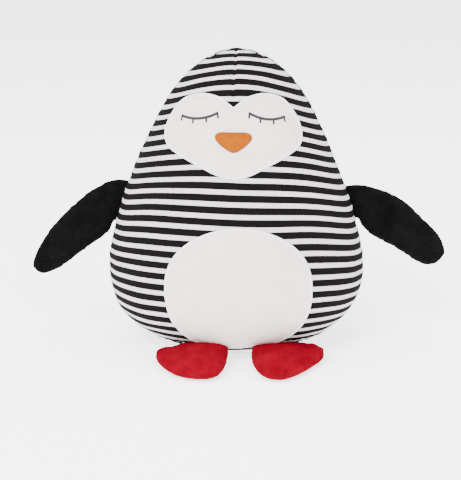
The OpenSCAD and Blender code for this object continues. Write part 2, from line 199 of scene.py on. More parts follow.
def on_front(xz, lift=0.0):
    """Points on the front of the body over (x, z), and the surface's normal there."""
    a = front_angle(xz[..., 0], xz[..., 1])
    z = xz[..., 1]
    n = skin_normal(a, z)
    return skin(a, z) + n * (relief(a, z) + lift)[..., None], n


# ---------------------------------------------------------------- mesh tools
def new_mesh(name, points, faces, material, fields=None):
    mesh = bpy.data.meshes.new(name)
    mesh.from_pydata(np.asarray(points).reshape(-1, 3).tolist(), [], [list(map(int, f)) for f in faces])
    mesh.validate()
    for key, values in (fields or {}).items():
        layer = mesh.attributes.new(key, "FLOAT", "POINT")
        layer.data.foreach_set("value", np.asarray(values, np.float32).ravel())
    solid = bmesh.new()
    solid.from_mesh(mesh)
    if all(len(e.link_faces) == 2 for e in solid.edges) and solid.calc_volume(signed=True) < 0:
        mesh.flip_normals()
    solid.free()
    mesh.polygons.foreach_set("use_smooth", [True] * len(mesh.polygons))
    mesh.materials.append(material)
    piece = bpy.data.objects.new(name, mesh)
    bpy.context.scene.collection.objects.link(piece)
    return piece


def grid_faces(rows, cols, around=False, first=0, flip=False):
    faces = []
    for i in range(rows - 1):
        for j in range(cols if around else cols - 1):
            k = (j + 1) % cols
            near, far = first + i * cols, first + (i + 1) * cols
            quad = [near + j, near + k, far + k, far + j]
            faces.append(quad[::-1] if flip else quad)
    return faces


def through(a, b, c, d, t):
    """Smooth run from b to c, with a and d as the neighbours on either side."""
    return b + 0.5 * t * ((c - a) + t * ((2 * a - 5 * b + 4 * c - d) + t * (3 * (b - c) + d - a)))


def closed_curve(points, count):
    """Smooth closed curve through the control points."""
    p = np.asarray(points, float)
    n = len(p)
    u = np.arange(count) * n / count
    i = np.floor(u).astype(int)
    return through(p[(i - 1) % n], p[i % n], p[(i + 1) % n], p[(i + 2) % n], (u - i)[:, None])


def open_curve(points, count):
    """Smooth curve from the first control point to the last, its points an even distance apart."""
    p = np.asarray(points, float)
    p = np.vstack([2 * p[0] - p[1], p, 2 * p[-1] - p[-2]])
    u = np.linspace(0, len(p) - 3 - 1e-9, 900)
    i = np.floor(u).astype(int)
    return even(through(p[i], p[i + 1], p[i + 2], p[i + 3], (u - i)[:, None]), count, closed=False)


def grid_normals(points):
    """Outward normals of a grid of points that is closed the second way round."""
    down = np.gradient(points, axis=0)
    around = np.roll(points, -1, 1) - np.roll(points, 1, 1)
    normal = unit(np.cross(around, down))
    return normal * np.sign(np.sum(normal * (points - points.mean(axis=(0, 1)))))


def tubes(name, paths, radius, material, sides=8):
    """Round yarn along each path; its twist runs along it."""
    points, faces, twist = [], [], []
    for path in paths:
        first = len(points)
        along = unit(np.gradient(path, axis=0))
        side = unit(np.cross(along, np.array([0.13, 0.4, 0.9])))
        up = np.cross(side, along)
        travel = np.concatenate([[0], np.cumsum(np.linalg.norm(np.diff(path, axis=0), axis=1))])
        for i, spot in enumerate(path):
            for k in range(sides):
                turn = 2 * math.pi * k / sides
                points.append(spot + radius * (math.cos(turn) * side[i] + math.sin(turn) * up[i]))
                twist.append(travel[i] / (2.2 * radius) + k / sides)
        faces += grid_faces(len(path), sides, around=True, first=first, flip=True)
        faces.append([first + k for k in range(sides)])
        faces.append([first + (len(path) - 1) * sides + k for k in range(sides)][::-1])
    return new_mesh(name, points, faces, material, {"twist": twist})


def even(curve, count, closed=True):
    """The same curve with its points an even distance apart."""
    p = np.vstack([curve, curve[:1]]) if closed else np.asarray(curve)
    s = np.concatenate([[0], np.cumsum(np.linalg.norm(np.diff(p, axis=0), axis=1))])
    t = np.linspace(0, s[-1], count + 1)[:-1] if closed else np.linspace(0, s[-1], count)
    return np.stack([np.interp(t, s, p[:, k]) for k in range(p.shape[1])], -1)


# ---------------------------------------------------------------- materials
def shader(name, **fixed):
    """A new material and its node tree. Values that are the same all over go straight on the shader."""
    material = bpy.data.materials.new(name)
    material.use_nodes = True
    tree = material.node_tree
    bsdf = tree.nodes["Principled BSDF"]
    for key, value in fixed.items():
        bsdf.inputs[key.replace("_", " ")].default_value = value
    return material, tree, bsdf


class Nodes:
    """Short names for the few nodes that the materials are made of."""

    def __init__(self, tree):
        self.tree = tree

    def add(self, kind, **values):
        node = self.tree.nodes.new(kind)
        for key, value in values.items():
            if key in node.bl_rna.properties:
                setattr(node, key, value)
            else:
                node.inputs[key].default_value = value
        return node

    def link(self, source, target):
        self.tree.links.new(source, target)

    def math(self, operation, a, b=0.0, c=None):
        node = self.add("ShaderNodeMath", operation=operation)
        for i, value in enumerate((a, b) if c is None else (a, b, c)):
            if isinstance(value, (int, float)):
                node.inputs[i].default_value = value
            else:
                self.link(value, node.inputs[i])
        return node.outputs[0]

    def field(self, name):
        return self.add("ShaderNodeAttribute", attribute_name=name).outputs["Fac"]

    def place(self):
        return self.add("ShaderNodeTexCoord").outputs["Object"]

    def noise(self, scale, detail=2.0, roughness=0.5, vector=None):
        node = self.add("ShaderNodeTexNoise", Scale=scale, Detail=detail, Roughness=roughness)
        self.link(vector if vector is not None else self.place(), node.inputs["Vector"])
        return node.outputs["Fac"]

    def span(self, value, low, high, to_low=0.0, to_high=1.0):
        node = self.add("ShaderNodeMapRange")
        node.interpolation_type = "SMOOTHSTEP"
        for i, v in enumerate((value, low, high, to_low, to_high)):
            if isinstance(v, (int, float)):
                node.inputs[i].default_value = v
            else:
                self.link(v, node.inputs[i])
        return node.outputs[0]

    def mix(self, factor, a, b):
        node = self.add("ShaderNodeMix")
        node.data_type = "RGBA"
        for socket, value in ((node.inputs[0], factor), (node.inputs[6], a), (node.inputs[7], b)):
            if isinstance(value, (int, float)):
                socket.default_value = value
            elif isinstance(value, tuple):
                socket.default_value = (*value, 1.0)
            else:
                self.link(value, socket)
        return node.outputs[2]

    def bump(self, height, distance, strength=1.0, normal=None):
        node = self.add("ShaderNodeBump", Strength=strength, Distance=distance)
        self.link(height, node.inputs["Height"])
        if normal is not None:
            self.link(normal, node.inputs["Normal"])
        return node.outputs["Normal"]


STITCH_W = 1.05                        # width of a knitted stitch in millimetres
STITCHES_UP = 14.0                     # rows of stitches in one stripe repeat
DARK_EDGE = (0.285, 0.318)             # where dark turns to light, in repeats from the dark band's middle


def striped_jersey():
    """Knitted stripes: dark where the course is near a whole number of stripes, with rows of V stitches."""
    material, tree, bsdf = shader("striped_jersey", Roughness=0.9, Sheen_Weight=0.006, Sheen_Roughness=0.5)
    bsdf.inputs["Specular IOR Level"].default_value = 0.025
    n = Nodes(tree)
    course, wale = n.field("course"), n.field("wale")
    # stitch columns and their V shape, in stitches
    column = n.math("MULTIPLY", wale, 1 / STITCH_W)
    across = n.math("ABSOLUTE", n.math("SUBTRACT", n.math("FRACT", column), 0.5))
    row = n.math("ADD", n.math("MULTIPLY", course, STITCHES_UP), n.math("MULTIPLY", across, 1.3))
    rung = n.math("MULTIPLY_ADD", n.math("SINE", n.math("MULTIPLY", row, 2 * math.pi)), 0.5, 0.5)
    wall = n.math("SINE", n.math("MULTIPLY", n.math("FRACT", n.math("MULTIPLY", column, 2.0)), math.pi))
    stitch = n.math("MULTIPLY", wall, n.math("MULTIPLY_ADD", rung, 0.55, 0.45))
    # the edges of the bands waver a little and follow the V of the stitches
    wobble = n.math("MULTIPLY_ADD", n.noise(900.0, 2.0), 0.05, -0.025)
    edge = n.math("ADD", n.math("ADD", course, wobble), n.math("MULTIPLY", across, 0.05))
    away = n.math("ABSOLUTE", n.math("SUBTRACT", n.math("FRACT", n.math("ADD", edge, 0.5)), 0.5))
    dark = n.span(away, *DARK_EDGE, 1.0, 0.0)
    fleck = n.noise(2600.0, 3.0, 0.7)
    cloud = n.noise(18.0, 2.0)
    light = n.mix(n.span(fleck, 0.3, 0.7), (0.76, 0.70, 0.71), (0.90, 0.835, 0.85))
    light = n.mix(n.math("MULTIPLY", cloud, 0.25), light, (0.79, 0.725, 0.74))
    night = n.mix(n.span(fleck, 0.35, 0.75), (0.0008, 0.0006, 0.0007), (0.0036, 0.0028, 0.0031))
    # painted shade: the gaps between stitches are darkened towards near black in the colour, where shade
    # falls in the knit
    painted_stitch_shading = n.math("MULTIPLY_ADD", stitch, 0.32, 0.68)
    colour = n.mix(dark, light, night)
    colour = n.mix(n.math("SUBTRACT", 1.0, painted_stitch_shading), colour, (0.02, 0.017, 0.018))
    n.link(colour, bsdf.inputs["Base Color"])
    fuzz = n.bump(n.noise(3200.0, 3.0, 0.7), 0.00012, 0.5)
    n.link(n.bump(stitch, 0.00035, 0.8, fuzz), bsdf.inputs["Normal"])
    return material


def fleece(name, low, high, pile, sheen, gloss, tint=(1, 1, 1, 1), rough=0.95):
    """Short pile: fine tufts and strands, over broader patches that look brushed another way."""
    material, tree, bsdf = shader(
        name, Roughness=rough, Sheen_Weight=sheen, Sheen_Roughness=0.5, Sheen_Tint=tint)
    bsdf.inputs["Specular IOR Level"].default_value = gloss
    n = Nodes(tree)
    tufts = n.noise(1 / pile, 4.0, 0.72)
    strands = n.noise(4 / pile, 2.0, 0.6)
    brushed = n.noise(55.0, 3.0, 0.6)
    amount = n.math("MULTIPLY_ADD", brushed, 0.5, n.math("MULTIPLY", tufts, 0.55))
    n.link(n.mix(n.span(amount, 0.3, 0.72), low, high), bsdf.inputs["Base Color"])
    nap = n.bump(brushed, 0.0012, 0.35)
    fine = n.bump(strands, pile * 0.2, 0.5, nap)
    n.link(n.bump(tufts, pile * 0.5, 0.8, fine), bsdf.inputs["Normal"])
    return material


def felt(name, low, high):
    """Pressed felt: matted fibres in all directions."""
    material, tree, bsdf = shader(name, Roughness=0.92, Sheen_Weight=0.01, Sheen_Roughness=0.5)
    bsdf.inputs["Specular IOR Level"].default_value = 0.04
    n = Nodes(tree)
    place = n.place()
    stretch = n.add("ShaderNodeMapping")
    stretch.inputs["Scale"].default_value = (1.0, 1.0, 4.0)
    stretch.inputs["Rotation"].default_value = (0.3, 0.8, 0.5)
    n.link(place, stretch.inputs["Vector"])
    fibres = n.noise(900.0, 5.0, 0.75, stretch.outputs["Vector"])
    mat = n.noise(220.0, 3.0, 0.6)
    amount = n.math("MULTIPLY_ADD", fibres, 0.6, n.math("MULTIPLY", mat, 0.4))
    n.link(n.mix(n.span(amount, 0.33, 0.67), low, high), bsdf.inputs["Base Color"])
    n.link(n.bump(fibres, 0.00035, 0.7), bsdf.inputs["Normal"])
    return material


def thread(name, low, high):
    """Twisted yarn: its strands show as fine slanting lines along the field named twist."""
    material, tree, bsdf = shader(name, Roughness=0.6, Sheen_Weight=0.05, Sheen_Roughness=0.4)
    bsdf.inputs["Specular IOR Level"].default_value = 0.25
    n = Nodes(tree)
    turns = n.math("MULTIPLY", n.field("twist"), 2 * math.pi)
    strand = n.math("MULTIPLY_ADD", n.math("SINE", turns), 0.5, 0.5)
    fleck = n.noise(1800.0, 2.0)
    amount = n.math("MULTIPLY_ADD", strand, 0.6, n.math("MULTIPLY", fleck, 0.4))
    n.link(n.mix(n.span(amount, 0.15, 0.85), low, high), bsdf.inputs["Base Color"])
    n.link(n.bump(strand, 0.0001, 0.7), bsdf.inputs["Normal"])
    return material


def woven_tape():
    """Woven tape: fine warp threads with a slight gloss."""
    material, tree, bsdf = shader("label_tape", Roughness=0.42, Sheen_Weight=0.2)
    n = Nodes(tree)
    warp = n.add("ShaderNodeTexWave", Scale=900.0, Distortion=0.6)
    n.link(n.place(), warp.inputs["Vector"])
    n.link(n.mix(warp.outputs["Fac"], (0.74, 0.74, 0.72), (0.86, 0.86, 0.85)), bsdf.inputs["Base Color"])
    n.link(n.bump(warp.outputs["Fac"], 0.00008, 0.6), bsdf.inputs["Normal"])
    return material


JERSEY = striped_jersey()
WHITE = fleece("white_fleece", (0.725, 0.60, 0.605), (0.855, 0.73, 0.725), 0.0011, 0.05, 0.12)
BLACK = fleece("black_plush", (0.0002, 0.0002, 0.0002), (0.0038, 0.0038, 0.0040), 0.0015, 0.014, 0.025)
RED = fleece("red_velour", (0.088, 0.0, 0.0026), (0.182, 0.0, 0.0085), 0.0009, 0.010, 0.015,
             (1.0, 0.05, 0.1, 1))
ORANGE = felt("orange_felt", (0.21, 0.047, 0.0), (0.31, 0.073, 0.0))
DARK_THREAD = thread("dark_thread", (0.003, 0.0026, 0.003), (0.012, 0.0105, 0.011))
GREY_THREAD = thread("eye_thread", (0.008, 0.007, 0.008), (0.035, 0.032, 0.034))
WHITE_THREAD = thread("white_thread", (0.76, 0.715, 0.72), (0.90, 0.86, 0.865))
ORANGE_THREAD = thread("orange_thread", (0.15, 0.036, 0.0), (0.235, 0.06, 0.0))
TAPE = woven_tape()


# ---------------------------------------------------------------- body covers
def rows_between(low, high, count):
    """Heights of rows that are about an even distance apart along the body's outline."""
    t = (1 - np.cos(np.linspace(0, math.pi, 4000))) / 2
    z = low + (high - low) * t
    s = np.concatenate([[0], np.cumsum(np.hypot(np.diff(z), 0.85 * np.diff(half_w(z))))])
    return np.interp(np.linspace(0, s[-1], count), s, z)


def stripe_course(points, z, back):
    """The stripe number over the surface. It counts the cloth's length up the middle of the body, and
    it curves towards the sides, where the darts at the crown and at the base take cloth out. Its rates
    were fitted to where the stripes lie in the photo; the back's stripes are a guess."""
    level = np.linspace(0.5 * MM, BODY_H - 0.2 * MM, 1500)
    path = skin(np.full_like(level, -math.pi / 2), level)
    length = np.concatenate([[0], np.cumsum(np.linalg.norm(np.diff(path, axis=0), axis=1))])
    start = np.interp(0.521 * BODY_H, level, length)
    scale = BODY_H / 2.88
    v = (np.interp(z, level, length) - start) / scale
    x = points[..., 0] / scale
    if back:
        x = -0.8 * x
    q = x * x
    course = -0.22 - 8.38 * v + 0.3 * v ** 2 - 0.2 * v ** 3 - 0.285 * x + 0.15 * v * x
    course += (q * (-0.2 - 1.01 * v - 1.55 * v ** 2 - 0.325 * v ** 3)
               + q * q * (-0.89 - 0.73 * v + 0.1 * v ** 2))
    if not back:
        # the stripes sag a little into the heart's notch
        beside = (points[..., 0] - FACE[0]) / (24 * MM)
        above = (z - NOTCH_Z + 3 * MM) / (13 * MM)
        into_notch = np.exp(-beside ** 2 - above ** 2)
        course = course - 0.24 * into_notch
    return course + 0.04 * waves(points, 0.09, 12 if back else 11) + (0.4 if back else 0.0)


def body_fields(points, z, back):
    course = stripe_course(points, z, back)
    if not back:
        # the crown's dart joins stripes that don't quite meet
        dart_x = FACE[0] * (1 - smooth((z - NOTCH_Z) / (BODY_H - NOTCH_Z)))
        mismatch = np.where(points[..., 0] > dart_x, 0.025, -0.025)
        course = course + smooth((z - NOTCH_Z) / (8 * MM)) * mismatch
    step = np.linalg.norm(np.diff(points, axis=1), axis=-1)
    wale = np.concatenate([np.zeros((len(points), 1)), np.cumsum(step, axis=1)], axis=1)
    wale -= wale[:, wale.shape[1] // 2:wale.shape[1] // 2 + 1]
    return {"course": course, "wale": wale / MM}


def body_panel(name, start, count_up=230, count_round=300):
    """Half of the striped cover, from one side seam to the other. Its sides and foot are turned inwards."""
    z = rows_between(SEAM_Z, BODY_H - 0.02 * MM, count_up)
    a = np.linspace(start, start + math.pi, count_round)
    a, z = np.meshgrid(a, z)
    points = on_body(a, z)
    fields = body_fields(points, z, start >= 0)
    normal = skin_normal(a, z)
    # one more row at the foot and at both sides, tucked inwards, hides the cloth's cut edge
    tuck = np.pad(points, ((1, 0), (1, 1), (0, 0)), mode="edge")
    into = np.pad(normal, ((1, 0), (1, 1), (0, 0)), mode="edge")
    tuck[0] -= into[0] * TUCK
    tuck[:, 0] -= into[:, 0] * TUCK
    tuck[:, -1] -= into[:, -1] * TUCK
    fields = {k: np.pad(v, ((1, 0), (1, 1)), mode="edge") for k, v in fields.items()}
    rows, cols = tuck.shape[:2]
    return new_mesh(name, tuck, grid_faces(rows, cols), JERSEY, fields)


def base_panel(name, count_up=46, count_flat=18, count_round=600):
    a = np.linspace(0, 2 * math.pi, count_round + 1)
    z = rows_between(0.0, SEAM_Z, count_up)
    a, z = np.meshgrid(a, z)
    outer = on_body(a, z)
    scale = np.linspace(0.04, 1, count_flat, endpoint=False)[:, None]
    floor = np.stack([np.cos(a[0]) * half_w(0.0) * scale,
                      DEPTH * np.sin(a[0]) * half_w(0.0) * scale,
                      0 * a[0] * scale], -1)
    edge = outer[-1:] - skin_normal(a[-1:], z[-1:]) * TUCK
    points = np.concatenate([floor, outer, edge])
    flat = points[..., 1]
    from_front = (flat - np.min(flat)) / STRIPE
    fields = {"course": 0.5 + from_front + 0.05 * waves(points, 0.09, 13), "wale": points[..., 0] / MM}
    rows, cols = points.shape[:2]
    points = points[:, :-1]
    fields = {k: v[:, :-1] for k, v in fields.items()}
    cols -= 1
    faces = grid_faces(rows, cols, around=True)
    faces.append(list(range(cols))[::-1])
    return new_mesh(name, points, faces, JERSEY, fields)


def make_body():
    front = body_panel("body_front_cover", -math.pi)
    back = body_panel("body_back_cover", 0.0)
    base = base_panel("base_cover")
    for piece, node in ((front, "body_front_panel"), (back, "body_back_panel"), (base, "base_panel")):
        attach(piece, "body")
        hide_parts(node)
    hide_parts("body_filling", "side_seam", "crown_dart_seam")
    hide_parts("base_seam")


# ---------------------------------------------------------------- patches and stitching
def patch(name, outline, middle, lift, material, seed, count_in=34, puff=0.0):
    """A cut patch laid on the front. Its edge is held down by the stitching, and its middle swells."""
    m = len(outline)
    share = 1 - (np.linspace(0, 1, count_in) ** 1.7)[:-1]
    rings = middle + (outline[None] - middle) * share[:, None, None]
    reach = np.linalg.norm(outline - middle, axis=1)[None]
    inwards = (1 - share)[:, None]
    edge = inwards * (reach * (1 - inwards) + np.max(reach) * inwards)
    rise = 0.25 * MM + 0.55 * MM * (1 - np.exp(-edge / (0.4 * MM)))
    rise = rise + 0.9 * MM * smooth((edge - 2.2 * MM) / (7 * MM))
    rise = rise + puff * smooth(inwards)
    rise = rise + gathers(edge, np.linspace(0, 1, m)[None] * 0.42, 7.5 * MM, 0.16 * MM, 7 * MM, seed)
    points, _ = on_front(rings, lift + rise)
    centre, _ = on_front(middle[None], lift + rise[-1:, 0])
    skirt, _ = on_front(outline[None] + 0 * rings[:1], np.full((1, m), lift - 1.2 * MM))
    points = np.concatenate([skirt, points])
    rows = len(points)
    faces = grid_faces(rows, m, around=True)
    last = rows * m
    faces += [[(rows - 1) * m + j, (rows - 1) * m + (j + 1) % m, last] for j in range(m)]
    return new_mesh(name, np.vstack([points.reshape(-1, 3), centre]), faces, material)


def stitched_band(name, curve, material, lift, half=1.15 * MM, inside=1.0 * MM, high=0.5 * MM,
                  pitch=0.52 * MM, closed=True):
    """Close satin stitches side by side along a curve on the front; each one shows as a fine ridge."""
    ring = np.vstack([on_front(curve)[0], on_front(curve[:1])[0]])
    length = np.linalg.norm(np.diff(ring, axis=0), axis=1).sum()
    count = int(length / (pitch / 3.2))
    curve = even(curve, count, closed)
    points, normal = on_front(curve, np.zeros(len(curve)))
    if closed:
        along = unit(np.roll(points, -1, 0) - np.roll(points, 1, 0))
        taper = np.ones(len(points))
    else:
        along = unit(np.gradient(points, axis=0))
        end = np.minimum(np.arange(len(points)), np.arange(len(points))[::-1]) * pitch / 3.2
        taper = 0.35 + 0.65 * np.sqrt(smooth(end / (1.6 * half)))
    inward = unit(np.cross(normal, along))
    s = np.arange(len(points)) * pitch / 3.2
    across = np.linspace(-1, 1, 9)
    slant = s[:, None] + across[None] * 0.35 * MM
    ridge = 0.5 + 0.5 * np.sin(2 * math.pi * slant / pitch)
    dome = high * np.sqrt(1 - 0.93 * across ** 2)[None]
    rise = lift + (dome + 0.10 * MM * ridge * (1 - across ** 4)[None]) * taper[:, None]
    offset = inside + across[None] * half * taper[:, None]
    grid = points[:, None] + inward[:, None] * offset[..., None] + normal[:, None] * rise[..., None]
    sides = offset[..., [0, -1]][..., None]
    foot = points[:, None] + inward[:, None] * sides + normal[:, None] * (lift - 0.9 * MM)
    grid = np.concatenate([foot[:, :1], grid, foot[:, 1:]], axis=1)
    twist = np.concatenate([slant[:, :1], slant, slant[:, -1:]], axis=1) / pitch
    n, cols = grid.shape[:2]
    faces = []
    for i in range(n if closed else n - 1):
        k = (i + 1) % n
        for j in range(cols - 1):
            faces.append([k * cols + j, k * cols + j + 1, i * cols + j + 1, i * cols + j])
    if not closed:
        faces.append(list(range(cols)))
        faces.append([(n - 1) * cols + j for j in range(cols)][::-1])
    return new_mesh(name, grid, faces, material, {"twist": twist})


HEART_DRAWN = 0.137                    # width in metres of the heart that its points draw
BEAK_DRAWN = 0.0354                    # width in metres of the beak that its points draw


def heart_outline(count=720):
    """The half of the heart on +X, from its notch to its point in millimetres, and its mirror image.
    The points began as places read off the photo."""
    half = [(0, 25.5), (4, 28), (15, 34.6), (32, 37), (49, 31), (61.5, 16), (67.5, 0),
            (64, -12.5), (50, -21), (34, -28), (16, -35.5), (0, -38.3)]
    points = [half[i] for i in range(11, -1, -1)] + [(-x, z) for x, z in half[1:11]]
    points = np.array(points) * FACE_W / HEART_DRAWN
    middle = np.array([FACE[0], FACE[2] - 1.5 * MM])
    return even(middle + closed_curve(points, 900) * MM, count), middle


def beak_outline(count=240):
    """A wide beak with rounded corners. Its points, in millimetres, began as places read off the photo."""
    points = [(0, 6.6), (12, 6.4), (17.2, 3.6), (16.5, -1), (9, -7.5), (0, -11.4),
              (-9, -7.5), (-16.5, -1), (-17.2, 3.6), (-12, 6.4)]
    middle = np.array([BEAK[0], BEAK[2] + 0.4 * MM])
    return even(middle + closed_curve(points, 400)[::-1] * BEAK_W / BEAK_DRAWN * MM, count), middle


def belly_outline(count=720):
    top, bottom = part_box("belly_patch")[1].z - 0.6 * MM, SEAM_Z + 0.6 * MM
    half = BELLY_W / 2
    middle_z = 0.27 * BODY_H
    a = np.linspace(0, 2 * math.pi, 2000, endpoint=False)
    c, s = np.cos(a), np.sin(a)
    power = np.where(s < 0, 0.8, 1.0)
    x = BELLY[0] + half * np.sign(c) * np.abs(c) ** power
    rise = np.where(s < 0, middle_z - bottom, top - middle_z)
    z = middle_z + rise * np.sign(s) * np.abs(s) ** power
    return even(np.stack([x, z], -1), count), np.array([BELLY[0], middle_z])


def make_face():
    outline, middle = heart_outline()
    face = patch("face_patch_cover", outline, middle, PATCH_LIFT, WHITE, 21)
    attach(face, "body")
    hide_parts("face_patch")
    band = stitched_band("face_patch_satin_stitch", outline, WHITE_THREAD, BAND_LIFT)
    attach(band, "body")
    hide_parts("face_patch_stitching")

    outline, middle = beak_outline()
    beak = patch("beak_felt", outline, middle, BEAK_LIFT, ORANGE, 22, count_in=22, puff=1.4 * MM)
    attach(beak, "body")
    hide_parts("beak_patch")
    band = stitched_band("beak_satin_stitch", outline, ORANGE_THREAD, BEAK_BAND_LIFT,
                         half=0.85 * MM, inside=0.7 * MM, high=0.45 * MM)
    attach(band, "body")
    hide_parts("beak_stitching")


def make_eye(side):
    """A closed lid line with four lashes, in close satin stitch."""
    low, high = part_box(f"{side}_eye_embroidery")
    s = SIDES[side]
    half = 17.3 * MM
    middle = np.array([(low.x + high.x) / 2 - s * 2.2 * MM, FACE[2] + 14.4 * MM])
    sag, tilt = 3.4 * MM, 2.3 * MM

    def lid(t):
        t = np.asarray(t, float)
        return middle + np.stack([s * half * t, sag * (t * t - 0.6) - tilt * t], -1)

    line = stitched_band(f"{side}_eye_lid", lid(np.linspace(-1, 1, 60)), GREY_THREAD, EYE_LIFT,
                         half=1.35 * MM, inside=0.0, high=0.5 * MM, closed=False)
    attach(line, "body")
    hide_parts(f"{side}_eye_embroidery")
    for i, t in enumerate((-0.97, -0.36, 0.36, 0.97)):
        above = 1.3 if abs(t) > 0.5 else 0.0
        root = lid(t) + np.array([0, above]) * MM
        tip = lid(t) + np.array([s * t * 0.7, -4.6]) * MM
        hair = np.linspace(root, tip, 12)
        lash = stitched_band(f"{side}_eye_lash_{i + 1}", hair, GREY_THREAD, EYE_LIFT - 0.05 * MM,
                             half=0.95 * MM, inside=0.0, high=0.45 * MM, closed=False)
        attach(lash, "body")


def make_belly():
    outline, middle = belly_outline()
    belly = patch("belly_patch_cover", outline, middle, PATCH_LIFT, WHITE, 31, count_in=46)
    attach(belly, "body")
    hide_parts("belly_patch")
    band = stitched_band("belly_patch_satin_stitch", outline, WHITE_THREAD, BAND_LIFT)
    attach(band, "body")
    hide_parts("belly_patch_stitching")


# ---------------------------------------------------------------- flippers
# Outlines in the flipper's plane, in millimetres from its raise joint: along the top and along the
# bottom, from the seam at the body to the tip. They were measured along the flippers in the photo.
WING_TOP = {
    "left": [(-21, 20.5), (-12, 21.6), (-3, 21.2), (6, 18.8), (16, 16.4), (26, 12.8), (36.5, 7), (47, -0.8),
             (57.5, -10.6), (67.6, -21.2), (75.2, -31), (79.4, -39.4), (80.4, -47), (77, -54)],
    "right": [(-18, 25.5), (-10, 26.6), (-2, 25), (9, 19.8), (18, 14.2), (27.5, 6), (37.5, -3),
              (47.8, -12.8), (58, -24), (65, -34.4), (71, -43.8), (74.4, -53), (75.4, -60.5), (71.5, -66)],
}
WING_LOW = {
    "left": [(-10, -12.5), (-4.5, -18.5), (1, -23.6), (8, -29), (16, -33.6), (26, -39), (36, -44.8),
             (46, -51.2), (56, -57.4), (64, -59.8), (71.5, -58), (77, -54)],
    "right": [(-9, -14.5), (-6, -19.5), (-1, -25), (5, -30), (12, -34.8), (20, -40.8), (29, -48), (38, -55),
              (46.5, -60.8), (55, -65.4), (64, -67.8), (71.5, -66)],
}
WING_T = 19 * MM


def wing_place(side, flat, through_it):
    """From the flipper's plane, which leans back with the body, to the toy."""
    x, z = flat[..., 0], flat[..., 1]
    y = through_it * math.cos(LEAN) + z * math.sin(LEAN)
    return np.stack([SIDES[side] * x, y, z * math.cos(LEAN) - through_it * math.sin(LEAN)], -1)


def make_wing(side, rows=170, around=112):
    pivot = np.array(joint(f"{side}_wing_raise")["pos_m"])
    centre = np.array([abs(pivot[0]), pivot[2] / math.cos(LEAN)])
    top = centre + open_curve(WING_TOP[side], rows) * MM
    low = centre + open_curve(WING_LOW[side], rows) * MM
    turn = np.linspace(0, 2 * math.pi, around, endpoint=False)
    c, through_it = np.cos(turn), np.sin(turn)
    flat = (top[:, None] * (1 + c)[:, None] + low[:, None] * (1 - c)[:, None]) / 2
    width = np.linalg.norm(top - low, axis=1)
    along = np.concatenate([[0], np.cumsum(np.linalg.norm(np.diff((top + low) / 2, axis=0), axis=1))])
    # the edge sewn to the body follows the body's side
    root = flat[:1].copy()
    root[..., 0] = half_w(root[..., 1] * math.cos(LEAN)) - SEWN
    near = (1 - smooth(along / (13 * MM)))[:, None, None]
    flat = flat * (1 - near) + (root + (along * 0.95)[:, None, None] * np.array([0.95, 0.3])) * near
    plump = (width / np.max(width)) ** 0.9 * (0.12 + 0.88 * (1 - np.exp(-(along / (15 * MM)) ** 1.3)))
    thick = (WING_T / 2 * plump)[:, None] * through_it
    points = wing_place(side, flat, thick)
    normal = grid_normals(points)
    edge = np.minimum(np.abs(np.sin(turn / 2)), np.abs(np.cos(turn / 2)))[None] * width[:, None]
    seed = 41 if side == "left" else 51
    out = 0.5 * MM * waves(points, 0.05, seed) + 0.16 * MM * waves(points, 0.017, seed + 1)
    out += 0.13 * MM * waves(points, 0.0045, seed + 2, 24)
    out += groove(edge, 0.75 * MM, 1.2 * MM)
    run = along[:, None] + 0 * edge
    round_root = (c * 20 * MM)[None] + 0 * edge
    out += gathers(edge, run, 9 * MM, 0.25 * MM, 6 * MM, seed + 3) * smooth(edge / (1.5 * MM))
    out += gathers(run, round_root, 8 * MM, 0.6 * MM, 12 * MM, seed + 4)
    out *= smooth(along / (4 * MM))[:, None] * smooth(width / (8 * MM))[:, None] ** 0.5
    points = points + normal * out[..., None]
    points = points[:-1]
    tip = wing_place(side, top[-1:], np.zeros(1))
    last = (rows - 1) * around
    faces = grid_faces(rows - 1, around, around=True)
    faces += [[last - around + j, last - around + (j + 1) % around, last] for j in range(around)]
    faces.append(list(range(around))[::-1])
    wing = new_mesh(f"{side}_wing_plush", np.vstack([points.reshape(-1, 3), tip]), faces, BLACK)
    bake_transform(wing)
    parts = ("tab", "front_panel", "back_panel", "filling", "seam")
    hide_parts(*(f"{side}_wing_{part}" for part in parts))


# ---------------------------------------------------------------- feet
# Outlines of the sole in millimetres from the middle of the heel: across, outwards, and along, to the
# toe. They were measured along the feet in the photo.
FOOT_OUTLINE = {
    "left": [(-22, 2), (-28.5, 19), (-31, 37), (-30, 54), (-25, 65), (-15.5, 69.5), (-4, 66.8), (8, 60.5),
             (19, 52.5), (30, 42.5), (40, 32), (45.5, 20.5), (42, 11), (30, 7), (16, 2.5), (-6, 1)],
    "right": [(-23, 2), (-29, 20), (-31.2, 37), (-30.4, 52), (-26, 63), (-17, 68.8), (-7, 70.2),
              (4, 68.2), (14.5, 62.5), (24.5, 54), (33.5, 43.5), (40, 33), (43, 22), (39.5, 13), (29, 9),
              (16, 2.5), (-6, 1)],
}
FOOT_RISE = {"left": 10.5, "right": 12.5}  # a foot's height above its seam, in millimetres
OUTER_DROP = {"left": 0.3, "right": 0.5}   # how much lower a foot is on its outer side
FOOT_LONG = 0.93                           # scales the outline's length
TOE_DROP = math.tan(math.radians(4))       # how steeply a foot's seam falls towards the toe
SOLE = 0.2 * MM                            # the sole's height above the floor


